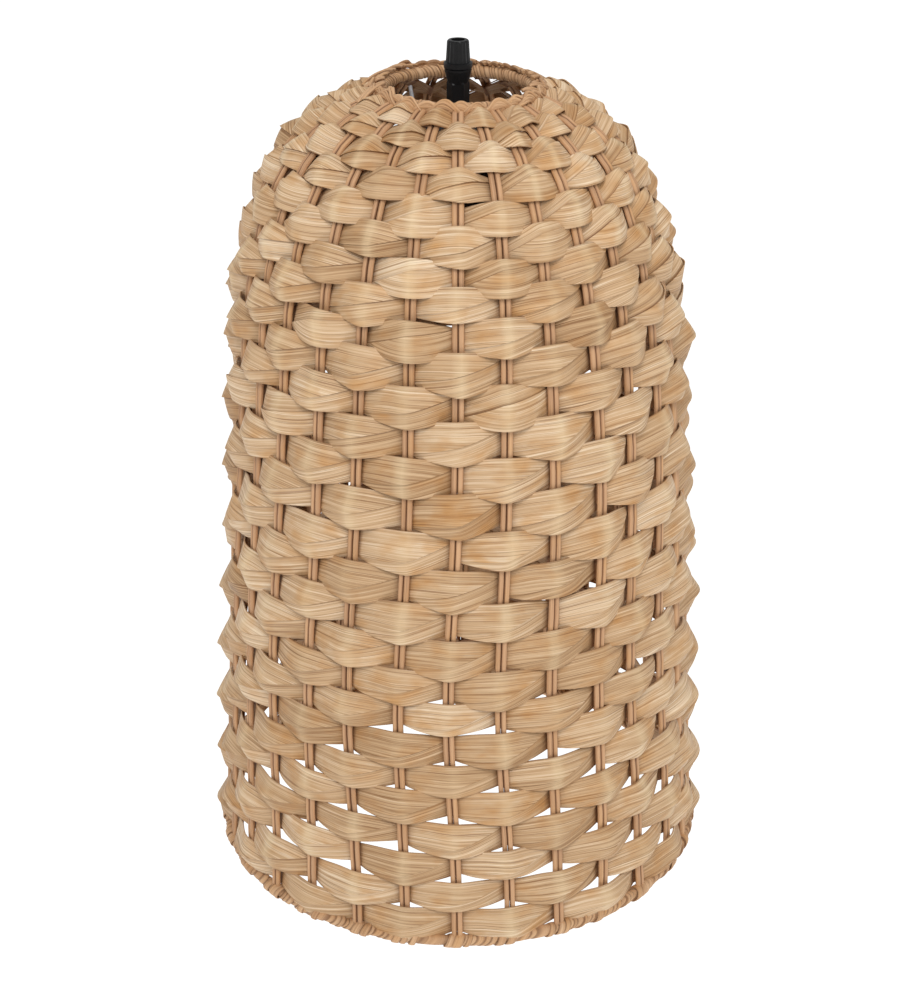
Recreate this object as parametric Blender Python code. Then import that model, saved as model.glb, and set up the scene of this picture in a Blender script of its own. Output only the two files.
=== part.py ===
"""Woven pendant lamp shade with its lampholder and cord grip, in metres, +Z up.

The origin is where the flex enters the cord grip, on the lamp's own axis, and everything hangs below it.
Angles round the axis start at the front, which faces -Y, and grow towards +X.
The wall of the shade is one curved line turned round the axis. A place on it is given by its distance
along that line from the bottom ring, its angle, and its offset square to the wall.
"""

import math

import bmesh
import bpy
from mathutils import Vector

MM = 0.001

# Woven wall: ring plane to ring plane, and the radii of the wall's middle.
SHADE_HEIGHT = 450 * MM
BOTTOM_RADIUS = 143 * MM
TAPER = 28 * MM  # how much narrower the wall would be at the top if it had no dome
TOP_RADIUS = 41 * MM
DOME_SHARPNESS = 8.7  # higher starts the dome further up
DOME_FLATNESS = 0.33  # lower makes the dome's top flatter
GRIP_RISE = 26.5 * MM  # the cord grip stands this far above the top ring

# Weave.
STAKES = 30
GROUP = 3  # stakes in one node, joined by a stretch of each hoop
STAKE_WIDTH = 5.2 * MM  # two canes side by side
STAKE_DEPTH = 2.6 * MM
ROWS = 27
STRIP_THICKNESS = 1.0 * MM
STRIP_OFFSET = 3.1 * MM  # from the wall's middle to the strip's middle where it passes a stake
OVER_HEIGHT = 1.15  # height of a strip over a stake, in row pitches
UNDER_HEIGHT = 0.80  # and under one
STAKE_STEPS = 13  # straight stretches in each stake
FIRST_ROW = 11.0 * MM  # from the bottom ring to the first row's middle
LAST_ROW = 11.0 * MM  # from the last row's middle to the top ring
ROW_SPACING = (0.88, 0.88, 1.0, 0.72, 0.71)  # relative spacing of the rows, at quarters of the way up
TIGHT_SPACING = 23.6 * MM  # where stakes stand closer than this, a strip lies flat across each stake

# Rims: a ring wire, the hoop that the stakes are worked round, and the cane binding over both.
RING_WIRE = 1.7 * MM
RIM_OUTER = 3.4 * MM
RIM_INNER = 2.1 * MM
RIM_LIP = 3.2 * MM  # how far the binding reaches along the wall
HOOP_NEAR, HOOP_FAR = 2.1 * MM, 4.0 * MM
GAP = 0.3 * MM

# Drop arms and spider ring that hold the shade on the lampholder.
ARM_ANGLES = (-138, -18, 102)
ARM_WIRE = 1.1 * MM
ARM_ROUTE = ((39.3, -31.8), (38.2, -36.0), (27.5, -71.6), (25.9, -74.8), (22.9, -75.85))  # mm
SPIDER_HOLE, SPIDER_RIM = 20.0, 26.0
SPIDER_TOP, SPIDER_BOTTOM = -77.3, -78.8

# Lampholder and cord grip: outlines as (radius, z) in mm, in order round each piece's section.
NUT_RIBS = 18
RIB_DEPTH = 0.4
NUT_OUTLINE = (
    (3.6, 0.0),
    (5.2, 0.0),
    (5.9, -0.8),
    (6.6, -11.5),
    (7.65, -11.9),
    (7.65, -14.4),
    (7.3, -14.8),
    (5.5, -14.8),
    (5.5, -7.0),
    (4.3, -1.6),
    (3.6, -1.6),
)
COLLET_OUTLINE = ((3.5, -2.0), (3.9, -2.0), (4.9, -6.4), (4.9, -7.2), (3.5, -7.2))
HEX_TOP, HEX_BOTTOM, HEX_FLATS = -23.0, -35.7, 10.6
GRIP_OUTLINE = (
    (3.5, -7.6),
    (5.1, -7.6),
    (5.1, -15.1),
    (7.3, -15.1),
    (7.3, -16.2),
    (5.7, -22.0),
    (5.7, HEX_TOP),
    (5.7, HEX_BOTTOM),
    (5.0, HEX_BOTTOM),
    (5.0, -44.0),
    (3.5, -44.0),
)
CAP_OUTLINE = (
    (5.35, -36.0),
    (7.6, -36.0),
    (7.6, -45.0),
    (12.5, -46.4),
    (18.6, -49.0),
    (20.3, -51.6),
    (20.3, -60.0),
    (18.7, -60.0),
    (18.7, -52.8),
    (17.2, -50.4),
    (11.6, -48.2),
    (8.0, -47.6),
    (5.35, -47.6),
)
BARREL_INSIDE, BARREL_THREAD, FLANGE_RADIUS = 16.6, 19.4, 22.0
BARREL_TOP, CAP_EDGE, FLANGE_TOP, FLANGE_BOTTOM, BARREL_BOTTOM = -53.4, -60.3, -74.0, -77.0, -100.0
THREAD_PITCH, THREAD_DEPTH = 4.0, 0.5
INSULATOR_OUTLINE = ((3.2, -56.0), (16.2, -56.0), (16.2, -66.0), (3.2, -66.0))
CONTACT_OUTLINE = ((0.0, -58.0), (2.7, -58.0), (2.7, -68.9), (1.9, -70.0), (0.0, -70.3))
SHELL_TOP, SHELL_BOTTOM, SHELL_RADIUS, SHELL_WALL = -66.3, -93.0, 13.9, 0.6
SHELL_WAVE, SHELL_WAVES = 0.55, 3
CLAMP_HOLE, CLAMP_RIM, CLAMP_TOP, CLAMP_BOTTOM = 19.8, 27.3, -79.1, -85.1
CLAMP_LOBES = 18
TERMINAL_PLACE, TERMINAL_SIZE = (9.0, 0.0, -54.0), (4.6, 7.0, 3.4)
SCREW_OUTLINE = ((0.0, 0.0), (1.2, 0.0), (1.2, 1.0), (1.9, 1.0), (1.9, 2.4), (0.0, 2.4))

MATERIALS = {
    "leaf": ((0.66, 0.47, 0.27), 0.62, 0.0),
    "cane": ((0.55, 0.34, 0.19), 0.55, 0.0),
    "binding": ((0.56, 0.37, 0.21), 0.60, 0.0),
    "wire": ((0.62, 0.62, 0.63), 0.40, 0.9),
    "black_plastic": ((0.012, 0.012, 0.013), 0.38, 0.0),
    "porcelain": ((0.82, 0.80, 0.76), 0.25, 0.0),
    "brass": ((0.72, 0.53, 0.25), 0.30, 1.0),
}


# ---------------------------------------------------------------- scene and materials


def clear_scene():
    for obj in list(bpy.data.objects):
        bpy.data.objects.remove(obj, do_unlink=True)


def make_materials():
    made = {}
    for name, (colour, roughness, metallic) in MATERIALS.items():
        material = bpy.data.materials.new(name)
        material.use_nodes = True
        shader = material.node_tree.nodes["Principled BSDF"]
        shader.inputs["Base Color"].default_value = (*colour, 1)
        shader.inputs["Roughness"].default_value = roughness
        shader.inputs["Metallic"].default_value = metallic
        made[name] = material
    return made


def finish_object(name, bm, material, parent, location=(0, 0, 0)):
    """Turns a bmesh into a named object, with its faces out and its round stretches smooth."""
    bmesh.ops.recalc_face_normals(bm, faces=bm.faces)
    mesh = bpy.data.meshes.new(name)
    bm.to_mesh(mesh)
    bm.free()
    mesh.shade_smooth()
    mesh.set_sharp_from_angle(angle=math.radians(35))
    mesh.materials.append(material)
    obj = bpy.data.objects.new(name, mesh)
    bpy.context.scene.collection.objects.link(obj)
    obj.parent = parent
    obj.location = location
    return obj


def make_empty(name, parent=None):
    empty = bpy.data.objects.new(name, None)
    bpy.context.scene.collection.objects.link(empty)
    empty.parent = parent
    return empty


# ---------------------------------------------------------------- shape helpers


def polar(radius, angle, z):
    return Vector((radius * math.sin(angle), -radius * math.cos(angle), z))


def loft(rings, closed):
    """A bmesh that joins matching rings of points, closed into a loop or capped at both ends."""
    bm = bmesh.new()
    made = [[bm.verts.new(point) for point in ring] for ring in rings]
    count = len(made[0])
    pairs = list(zip(made, made[1:] + made[:1] if closed else made[1:]))
    for ring, following in pairs:
        for k in range(count):
            after = (k + 1) % count
            bm.faces.new((ring[k], ring[after], following[after], following[k]))
    if not closed:
        bm.faces.new(made[0])
        bm.faces.new(made[-1])
    return bm


def turned(outline, segments, reshape=None):
    """A bmesh of a closed (radius, z) outline in mm, turned round the axis.

    reshape(radius, angle, z), in the outline's units, may change a radius on its way round.
    """
    rings = []
    for k in range(segments):
        angle = k * math.tau / segments
        radii = [reshape(radius, angle, z) if reshape else radius for radius, z in outline]
        rings.append([polar(radius * MM, angle, z * MM) for radius, (_, z) in zip(radii, outline)])
    bm = loft(rings, closed=True)
    bmesh.ops.remove_doubles(bm, verts=bm.verts, dist=GAP / 100)
    return bm


def block(size, centre):
    """A bmesh of a box, sizes in mm."""
    bm = bmesh.new()
    bmesh.ops.create_cube(bm, size=MM)
    bmesh.ops.scale(bm, vec=size, verts=bm.verts)
    bmesh.ops.translate(bm, vec=Vector(centre) * MM, verts=bm.verts)
    return bm


def rod(path, radius, sides):
    """A bmesh of a round rod along a list of points that lie in one plane with the axis."""
    rings = []
    for k, point in enumerate(path):
        before, after = path[max(k - 1, 0)], path[min(k + 1, len(path) - 1)]
        along = (after - before).normalized()
        across = Vector((-point.y, point.x, 0)).normalized()
        up = along.cross(across)
        turn = [math.tau * side / sides for side in range(sides)]
        rings.append([point + radius * (math.cos(t) * across + math.sin(t) * up) for t in turn])
    return loft(rings, closed=False)


# ---------------------------------------------------------------- the wall's line


def wall_radius(height):
    """Radius of the wall's middle at a height above the bottom ring: a taper closed by a dome."""
    share = height / SHADE_HEIGHT
    taper = BOTTOM_RADIUS - TAPER * share
    closure = 1 - (TOP_RADIUS / (BOTTOM_RADIUS - TAPER)) ** (1 / DOME_FLATNESS)
    return taper * (1 - closure * share**DOME_SHARPNESS) ** DOME_FLATNESS


def measure_wall(steps=1200):
    """The wall's line as (distance along it, radius, z), from the bottom ring to the top ring."""
    line, length, last = [], 0.0, None
    for k in range(steps + 1):
        height = SHADE_HEIGHT * k / steps
        here = Vector((wall_radius(height), height - SHADE_HEIGHT - GRIP_RISE))
        if last is not None:
            length += (here - last).length
        line.append((length, here.x, here.y))
        last = here
    return line


WALL = measure_wall()
WALL_LENGTH = WALL[-1][0]


def wall_point(along, angle, offset=0.0):
    """The point at a distance along the wall, at an angle, offset outwards square to the wall."""
    low, high = 0, len(WALL) - 1
    while high - low > 1:
        middle = (low + high) // 2
        low, high = (middle, high) if WALL[middle][0] <= along else (low, middle)
    (s0, r0, z0), (s1, r1, z1) = WALL[low], WALL[high]
    share = (along - s0) / (s1 - s0)
    radial, upward = (r1 - r0) / (s1 - s0), (z1 - z0) / (s1 - s0)
    radius = r0 + share * (r1 - r0) + offset * upward
    return polar(radius, angle, z0 + share * (z1 - z0) - offset * radial)


# ---------------------------------------------------------------- weave


def row_places():
    """(distance along the wall, pitch) of each row, from the bottom up."""
    gaps = []
    quarters = len(ROW_SPACING) - 1
    for k in range(ROWS - 1):
        place = quarters * (k + 0.5) / (ROWS - 1)
        quarter = min(int(place), quarters - 1)
        low, high = ROW_SPACING[quarter], ROW_SPACING[quarter + 1]
        gaps.append(low + (high - low) * (place - quarter))
    scale = (WALL_LENGTH - FIRST_ROW - LAST_ROW) / sum(gaps)
    gaps = [gap * scale for gap in gaps]
    places, along = [], FIRST_ROW
    for k in range(ROWS):
        near = gaps[max(k - 1, 0)], gaps[min(k, ROWS - 2)]
        places.append((along, min(near)))
        along += near[1]
    return places


def strip_corners(along, angle, side, half):
    near, far = side * STRIP_OFFSET - STRIP_THICKNESS / 2, side * STRIP_OFFSET + STRIP_THICKNESS / 2
    low, high = along - half, along + half
    return [
        wall_point(low, angle, near),
        wall_point(low, angle, far),
        wall_point(high, angle, far),
        wall_point(high, angle, near),
    ]


def make_weaver(row, along, pitch, material, parent):
    """One strip woven over and under the stakes, closed into a ring."""
    step = math.tau / STAKES
    radius = wall_point(along, 0).xy.length
    room = min(along, WALL_LENGTH - along) - HOOP_FAR - 2 * GAP
    flat = (STAKE_WIDTH / 2 + GAP) / radius if radius * step < TIGHT_SPACING else 0.0
    rings = []
    for stake in range(STAKES):
        side = 1 if (row + stake) % 2 else -1
        half = min(room, pitch / 2 * (OVER_HEIGHT if side > 0 else UNDER_HEIGHT))
        for turn in (-flat, flat) if flat else (0.0,):
            rings.append(strip_corners(along, stake * step + turn, side, half))
    name = f"weaver_row_{row + 1:02d}"
    return finish_object(name, loft(rings, closed=True), material, parent)


def stake_section(along, angle):
    """The four corners of a stake's section: inside left, inside right, outside right, outside left."""
    across = STAKE_WIDTH / 2 * Vector((math.cos(angle), math.sin(angle), 0))
    inner = wall_point(along, angle, -STAKE_DEPTH / 2)
    outer = wall_point(along, angle, STAKE_DEPTH / 2)
    return [inner - across, inner + across, outer + across, outer - across]


def stake_places(steps):
    """Distances along the wall for a stake's sections, closer together on the dome."""
    start, end = HOOP_FAR, WALL_LENGTH - HOOP_FAR
    return [start + (end - start) * (1 - (1 - k / steps) ** 1.6) for k in range(steps + 1)]


def join_loops(bm, first, second):
    """Faces between two matching closed loops of verts."""
    for k in range(len(first)):
        after = (k + 1) % len(first)
        bm.faces.new((first[k], first[after], second[after], second[k]))


def add_hoop(bm, edge_along, angles, stake_ends):
    """A stretch of hoop past the stakes' ends, with one face left open for each, whose verts it shares."""
    sections = []
    for angle, end in zip(angles, stake_ends):
        across = STAKE_WIDTH / 2 * Vector((math.cos(angle), math.sin(angle), 0))
        for side, inner, outer in ((-1, end[0], end[3]), (1, end[1], end[2])):
            far_inner = wall_point(edge_along, angle, -STAKE_DEPTH / 2) + side * across
            far_outer = wall_point(edge_along, angle, STAKE_DEPTH / 2) + side * across
            sections.append([inner, outer, bm.verts.new(far_outer), bm.verts.new(far_inner)])
    for k, (section, following) in enumerate(zip(sections, sections[1:])):
        carries_stake = k % 2 == 0
        for side in range(1 if carries_stake else 0, 4):
            after = (side + 1) % 4
            bm.faces.new((section[side], section[after], following[after], following[side]))
    bm.faces.new(sections[0])
    bm.faces.new(sections[-1])


def make_stake_group(group, material, parent):
    """A few stakes and the stretches of the two hoops that their ends are worked round, as one solid."""
    bm = bmesh.new()
    angles = [(group * GROUP + k) * math.tau / STAKES for k in range(GROUP)]
    lower_ends, upper_ends = [], []
    for angle in angles:
        sections = [stake_section(along, angle) for along in stake_places(STAKE_STEPS)]
        loops = [[bm.verts.new(corner) for corner in section] for section in sections]
        for first, second in zip(loops, loops[1:]):
            join_loops(bm, first, second)
        lower_ends.append(loops[0])
        upper_ends.append(loops[-1])
    add_hoop(bm, HOOP_NEAR, angles, lower_ends)
    add_hoop(bm, WALL_LENGTH - HOOP_NEAR, angles, upper_ends)
    return finish_object(f"stake_group_{group + 1:02d}", bm, material, parent)


# ---------------------------------------------------------------- rims and spider


def make_ring_wire(name, along, material, parent):
    sides = 6
    turns = [math.tau * (side + 0.5) / sides for side in range(sides)]
    rings = []
    for k in range(STAKES):
        centre = wall_point(along, k * math.tau / STAKES)
        outward = Vector((centre.x, centre.y, 0)).normalized()
        up = Vector((0, 0, 1))
        rings.append([centre + RING_WIRE * (math.cos(t) * outward + math.sin(t) * up) for t in turns])
    return finish_object(name, loft(rings, closed=True), material, parent)


def make_binding(name, place, inwards, material, parent):
    """A channel of wrapped cane round a ring wire, open on the side where the stakes enter.

    inwards is 1 or -1: the way along the wall from this ring towards the other one.
    """
    slant = RIM_OUTER * math.sqrt(0.5)
    flat = 0.6 * RIM_INNER
    corners = (  # (offset from the wall, distance along it towards the stakes)
        (-RIM_OUTER, RIM_LIP),
        (-RIM_OUTER, 0),
        (-slant, -slant),
        (0, -RIM_OUTER),
        (slant, -slant),
        (RIM_OUTER, 0),
        (RIM_OUTER, RIM_LIP),
        (RIM_INNER, RIM_LIP),
        (RIM_INNER, -flat),
        (flat, -RIM_INNER),
        (-flat, -RIM_INNER),
        (-RIM_INNER, -flat),
        (-RIM_INNER, RIM_LIP),
    )
    rings = []
    for k in range(STAKES):
        angle = k * math.tau / STAKES
        centre = wall_point(place, angle)
        outward = (wall_point(place, angle, MM) - centre).normalized()
        onward = (wall_point(place + inwards * RIM_LIP, angle) - centre).normalized()
        rings.append([centre + offset * outward + along * onward for offset, along in corners])
    return finish_object(name, loft(rings, closed=True), material, parent)


def make_drop_arm(number, angle, material, parent):
    path = [polar(radius * MM, math.radians(angle), z * MM) for radius, z in ARM_ROUTE]
    return finish_object(f"drop_arm_{number}", rod(path, ARM_WIRE, 8), material, parent)


def make_spider_ring(material, parent):
    outline = (
        (SPIDER_HOLE, SPIDER_TOP),
        (SPIDER_RIM, SPIDER_TOP),
        (SPIDER_RIM, SPIDER_BOTTOM),
        (SPIDER_HOLE, SPIDER_BOTTOM),
    )
    return finish_object("spider_ring", turned(outline, 24), material, parent)


# ---------------------------------------------------------------- cord grip


def make_grip_nut(material, parent):
    rib_step = math.pi / NUT_RIBS

    def ribs(radius, angle, z):
        between_ribs = round(angle / rib_step) % 2
        return radius - RIB_DEPTH if between_ribs and 5.6 < radius < 7 and z > -12 else radius

    bm = turned(NUT_OUTLINE, 2 * NUT_RIBS, ribs)
    return finish_object("cord_grip_nut", bm, material, parent)


def make_grip_collet(material, parent):
    return finish_object("cord_grip_collet", turned(COLLET_OUTLINE, 24), material, parent)


def make_grip_body(material, parent):
    def hexagon(radius, angle, z):
        on_hexagon = radius > 5.5 and HEX_BOTTOM <= z <= HEX_TOP
        from_flat = math.radians((math.degrees(angle) + 30) % 60 - 30)
        return HEX_FLATS / 2 / math.cos(from_flat) if on_hexagon else radius

    return finish_object("cord_grip_body", turned(GRIP_OUTLINE, 24, hexagon), material, parent)


# ---------------------------------------------------------------- lampholder


def make_cap(material, parent):
    return finish_object("lampholder_cap", turned(CAP_OUTLINE, 24), material, parent)


def make_barrel(material, parent):
    """The outer barrel: its neck sits in the cap, its flange takes the spider ring, its skirt is threaded."""
    neck = BARREL_THREAD - 1.1
    outline = [(BARREL_INSIDE, BARREL_TOP), (neck, BARREL_TOP), (neck, CAP_EDGE)]
    outline += [(BARREL_THREAD, CAP_EDGE), (BARREL_THREAD, FLANGE_TOP), (FLANGE_RADIUS, FLANGE_TOP)]
    outline += [(FLANGE_RADIUS, FLANGE_BOTTOM), (BARREL_THREAD, FLANGE_BOTTOM)]
    z = CLAMP_BOTTOM - THREAD_PITCH / 2
    while z > BARREL_BOTTOM + THREAD_PITCH:
        outline += [(BARREL_THREAD, z), (BARREL_THREAD - THREAD_DEPTH, z - THREAD_PITCH / 2)]
        z -= THREAD_PITCH
    outline += [(BARREL_THREAD, z), (BARREL_THREAD, BARREL_BOTTOM), (BARREL_INSIDE, BARREL_BOTTOM)]
    return finish_object("lampholder_barrel", turned(outline, 24), material, parent)


def make_insulator(material, parent):
    return finish_object("contact_insulator", turned(INSULATOR_OUTLINE, 24), material, parent)


def make_screw_shell(material, parent):
    """The brass shell that takes the bulb: a thin waved wall with a lip that fastens it to the insulator."""
    top, bottom = SHELL_TOP - 2.4, SHELL_BOTTOM
    steps = 2 * SHELL_WAVES
    wall = []
    for k in range(steps + 1):
        swing = SHELL_WAVE / 2 * (1 if k % 2 else -1)
        wall.append((SHELL_RADIUS + swing, top + (bottom - top) * k / steps))
    outer = [(radius + SHELL_WALL / 2, z) for radius, z in wall]
    inner = [(radius - SHELL_WALL / 2, z) for radius, z in reversed(wall)]
    lip = 9.0
    outline = [(lip, SHELL_TOP), (outer[0][0], SHELL_TOP), *outer, *inner]
    outline += [(inner[-1][0], SHELL_TOP - SHELL_WALL), (lip, SHELL_TOP - SHELL_WALL)]
    return finish_object("screw_shell", turned(outline, 24), material, parent)


def make_centre_contact(material, parent):
    return finish_object("centre_contact", turned(CONTACT_OUTLINE, 16), material, parent)


def make_terminal(name, side, material, parent):
    x, y, z = TERMINAL_PLACE
    return finish_object(name, block(TERMINAL_SIZE, (side * x, y, z)), material, parent)


def make_terminal_screw(name, side, material, parent):
    """A screw that stands out of the terminal's outer face, with its head away from the axis."""
    x, y, z = TERMINAL_PLACE
    place = (side * (x + TERMINAL_SIZE[0] / 2 + GAP / MM) * MM, y * MM, z * MM)
    screw = finish_object(name, turned(SCREW_OUTLINE, 12), material, parent, place)
    screw.rotation_euler = (0, side * math.pi / 2, 0)
    return screw


def make_clamp_ring(material, parent):
    lobe_step = math.pi / CLAMP_LOBES

    def lobes(radius, angle, z):
        between_lobes = round(angle / lobe_step) % 2
        return radius - 0.8 if between_lobes and radius > CLAMP_HOLE + 1 else radius

    outline = (
        (CLAMP_HOLE, CLAMP_TOP),
        (CLAMP_RIM, CLAMP_TOP),
        (CLAMP_RIM, CLAMP_BOTTOM),
        (CLAMP_HOLE, CLAMP_BOTTOM),
    )
    return finish_object("shade_clamp_ring", turned(outline, 2 * CLAMP_LOBES, lobes), material, parent)


# ---------------------------------------------------------------- assembly


def build_shade(materials, parent):
    for row, (along, pitch) in enumerate(row_places()):
        make_weaver(row, along, pitch, materials["leaf"], parent)
    for group in range(STAKES // GROUP):
        make_stake_group(group, materials["cane"], parent)
    make_ring_wire("bottom_ring_wire", 0.0, materials["wire"], parent)
    make_ring_wire("top_ring_wire", WALL_LENGTH, materials["wire"], parent)
    make_binding("bottom_rim_binding", 0.0, 1, materials["binding"], parent)
    make_binding("top_rim_binding", WALL_LENGTH, -1, materials["binding"], parent)
    for number, angle in enumerate(ARM_ANGLES, start=1):
        make_drop_arm(number, angle, materials["wire"], parent)
    make_spider_ring(materials["wire"], parent)


def build_lampholder(materials, parent):
    black, brass = materials["black_plastic"], materials["brass"]
    make_grip_collet(black, parent)
    make_grip_body(black, parent)
    make_cap(black, parent)
    make_insulator(materials["porcelain"], parent)
    make_screw_shell(brass, parent)
    for name, side in (("live", 1), ("neutral", -1)):
        make_terminal(f"{name}_terminal", side, brass, parent)
        make_terminal_screw(f"{name}_terminal_screw", side, brass, parent)


def main():
    clear_scene()
    materials = make_materials()
    lamp = make_empty("lamp")
    build_lampholder(materials, make_empty("lampholder", lamp))
    build_shade(materials, make_empty("shade", lamp))
    make_grip_nut(materials["black_plastic"], make_empty("grip_nut", lamp))
    make_barrel(materials["black_plastic"], make_empty("barrel", lamp))
    make_clamp_ring(materials["black_plastic"], make_empty("clamp_ring", lamp))
    make_centre_contact(materials["brass"], make_empty("contact", lamp))


main()
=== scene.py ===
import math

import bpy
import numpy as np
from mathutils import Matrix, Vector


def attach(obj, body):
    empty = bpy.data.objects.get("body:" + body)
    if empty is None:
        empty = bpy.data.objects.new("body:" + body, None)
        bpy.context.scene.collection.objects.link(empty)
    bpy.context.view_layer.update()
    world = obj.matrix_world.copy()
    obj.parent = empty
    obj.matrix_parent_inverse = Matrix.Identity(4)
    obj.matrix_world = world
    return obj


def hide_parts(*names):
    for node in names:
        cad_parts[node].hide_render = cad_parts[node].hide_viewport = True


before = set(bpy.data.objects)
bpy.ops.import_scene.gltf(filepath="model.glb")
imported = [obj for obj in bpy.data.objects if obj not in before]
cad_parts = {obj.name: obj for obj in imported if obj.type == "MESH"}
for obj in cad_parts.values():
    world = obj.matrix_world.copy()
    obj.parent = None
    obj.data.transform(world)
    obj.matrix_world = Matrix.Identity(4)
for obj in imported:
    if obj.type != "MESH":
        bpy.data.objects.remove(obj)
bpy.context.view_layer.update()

# Looks of the woven pendant lamp shade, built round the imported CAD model.
# Lengths are in metres. Angles round the axis start at the front, which faces -Y, and grow towards +X.
# The wall of the shade is one curved line turned round the axis. A place on it is given by its distance
# along that line from the bottom ring, its angle, and its offset square to the wall.
# A pair of numbers that goes to spread() is a mean and a deviation.

MM = 0.001
RNG = np.random.default_rng(20)

# Weave. Each strip segment passes over one stake and ends behind the stakes beside it. A place along it
# is counted in stake spacings from the stake it passes over, and called u. A place across it is counted
# in local strip heights from the row's line, and called v.
STAKES = 30
STEP = math.tau / STAKES
GROUP = 3  # stakes in one CAD node
ROWS = 27
SEGMENT_COLUMNS = 24
FACE_STEPS = (0.0, 0.2, 0.4, 0.6, 0.8, 0.95, 1.0)  # from the fold up to the free edge
FLAP_STEPS = (1.0, 0.93, 0.75, 0.55, 0.34, 0.15, 0.06, 0.0)  # from the free edge up to the fold
SEGMENT_REACH = 1.04
SEGMENT_MIDDLE = (0.03, 0.05)  # where the strip passes over its stake
ROW_WANDER = (0, 0.5 * MM)  # how far a segment strays from its row's line
USUAL_PITCH, PITCH_SHARE = 18.5 * MM, 0.65  # how far strip heights follow the row pitch
LOW_GAP, LOW_ROWS = 0.10, 7.0  # the lowest rows have narrower strips, with gaps between them
FULL_SPACING, RELIEF_POWER = 26 * MM, 0.8  # where stakes stand closer, the strips swing and fold less
TURN_ROW, TURN_SPREAD, MOST_TURNED = 18.5, 1.6, 0.7  # above this row most segments are upside down

# A segment's outline. A table by 1 and -1 holds the value for an upright and for a turned segment.
STRIP_THICKNESS = 0.5 * MM
TOP_EDGE, END_HEIGHT = 0.36, (0.79, 0.04)  # the top edge's v, and the height at the ends
EDGE_WANDER = (0.0, 0.03)  # how far the top edge strays
SEGMENT_LEAN = (0, 0.025)  # how far one end stands higher than the middle
ARCH = {1: 0.22, -1: 0.24}  # how far the face's edge arches in the middle
HUMP = {1: (0.20, 0.06), -1: (0.19, 0.06)}  # how far the flap's edge sags in the middle
HUMP_SOFTNESS = {1: 0.09, -1: 0.5}
FOLD_DEPTH = (0.11, 0.06)  # how far below the row's line the fold passes over the stake
FOLD_END = (0.05, 0.03)  # how far below the top right corner the fold ends
FOLD_MARGINS = (0.02, 0.04)  # the least height of the flap and of the face
FOLD_WEIGHTS = (0.15, 0.7)  # how the fold is smoothed, from the points beside and from its own

# A segment's relief.
STRIP_SWING = 2.9 * MM  # how far a strip swings out over a stake and in behind the next
LEAST_SWING, SPACED_SWING = 0.7, 0.3  # share of the swing that is always there, and that spacing adds
SWING_BEND = 0.16  # how gradually it bends over the stake
STRIP_TILT = 1.2 * MM  # how far its lower edge leans out, for each strip height
STAND_OUT, SHOULDER_OUT = 0.7 * MM, 1.9 * MM  # how far strips stand out, and how much more at the shoulder
SHOULDER_ROW, SHOULDER_SPREAD = 17.5, 3.5
RIDGE, RIDGE_POWER = (4.6 * MM, 0.7 * MM), 1.6  # how far the fold stands out
FACE_BULGE = 0.25 * MM
BUCKLE, BUCKLE_FADE = 0.28 * MM, 0.6  # slow waves of the surface, weaker towards the ends
WAVES_ALONG, WAVES_ACROSS = 2.1, 1.3
FLAP_START, FLAP_MARGIN = 0.05, 0.005  # the flap starts above the fold, but below the face's edge
FLAP_LIFT = 0.95  # share of the ridge that the flap's upper end follows
FLAP_CURL, FULL_FLAP = 4.6 * MM, 0.42  # how far the flap curls in, and the height at which it is whole
CURL_SHAPE = (0.8, 0.2)  # straight and curved part of the curl
CURL_FADE, CURL_POWER = 0.75, 1.5
LAP = (0.7 * MM, 1.1 * MM)  # how far the flap lies behind the fold, left and right
LAP_SPAN, LAP_FADE = (-0.3, 0.5), 0.8  # where the lap changes, and the share that is gone at the free edge
MEAN_RADIUS = 0.13  # of the wall

# A segment's tint, with its painted shade and painted shadow lines.
STRIP_TINT = (0.5, 0.14)
FACE_SHADE, FLAP_SHADE = 0.05, (0.03, 0.12)  # added lightness
LEFT_SHADOW, RIGHT_SHADOW = (0.2, 0.85), 0.95  # painted shadow line under the fold, in its two halves
SHADOW_SPAN = (-0.2, 0.3)  # between the two halves the painted shadow changes evenly
SHADOW_SHARE = {1: 1.0, -1: 0.6}
NEAR_FOLD, NEAR_EDGE = 0.1, 0.99  # shares of the way to the free edge: below the first a point takes the painted shadow line under the fold, above the second the dark edge line
EDGE_SHADOW_AND_DRY_EDGE = 0.4  # dark line along the free edges: painted shadow in the gaps under them, and the darker dry edge of the leaf
PAINTED_INNER_SHADE = 0.4  # painted shade: how much darker the side of a strip that faces the lamp is
PAINTED_SHADE_FROM, PAINTED_SHADE_RISE = 0.84, 0.09  # painted shade darkens the ends from here, where they go behind the next strips
PALENESS = (0.1, 1.0)  # least and most pale band where a strip bends over its stake: the leaf's paler bend, partly a painted highlight of the ridge
PALE_PLACE, PALE_WIDTH = (0.0, 0.05), 0.12

# Stakes and their drift round the axis.
CANE_RADIUS = 1.46 * MM
CANE_APART = 1.54 * MM
CANE_YIELD = 0.45 * MM  # how far a cane gives way to the strips that cross it
STAKE_SECTIONS, STAKE_SIDES = 60, 12
DRIFT_STEPS = 60
COMMON_DRIFT, DRIFT_CENTRE, DRIFT_WIDTH = math.radians(-2.3), 0.30, 0.17
OWN_DRIFT = math.radians(0.42)
LEAN, LEAN_CENTRE, LEAN_WIDTH = -1.9 * MM, 0.80, 0.15  # the dome stands a little to one side

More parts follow.
